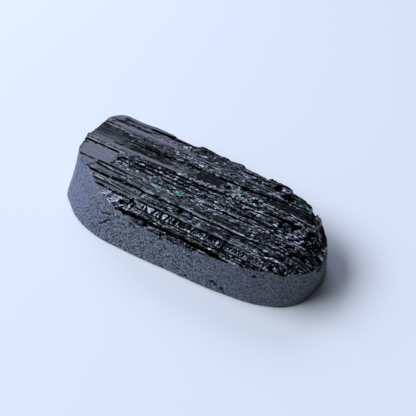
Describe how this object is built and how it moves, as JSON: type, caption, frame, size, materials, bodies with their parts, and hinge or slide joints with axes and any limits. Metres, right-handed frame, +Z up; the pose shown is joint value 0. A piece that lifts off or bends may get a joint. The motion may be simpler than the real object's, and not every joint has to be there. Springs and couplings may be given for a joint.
{
  "type": "tourmaline crystal",
  "caption": "Rough-top black tourmaline: a low oval slab with ground matte sides and a flat underside, and a natural ribbed crystal face on top. Rests flat for display or setting.",
  "frame": {"origin": "the centre of the flat underside's box, on the surface that the stone rests on", "axes": "+X along the ribs towards the rounded end, +Y across them towards the higher natural edge, +Z up"},
  "size_m": [0.0447, 0.0198, 0.0079],
  "materials": {
    "black_tourmaline": "glossy black striated crystal face on top, fine matte blue-grey ground side, flat ground underside"
  },
  "bodies": {
    "root": {"tourmaline_crystal": "black_tourmaline"}
  },
  "joints": []
}
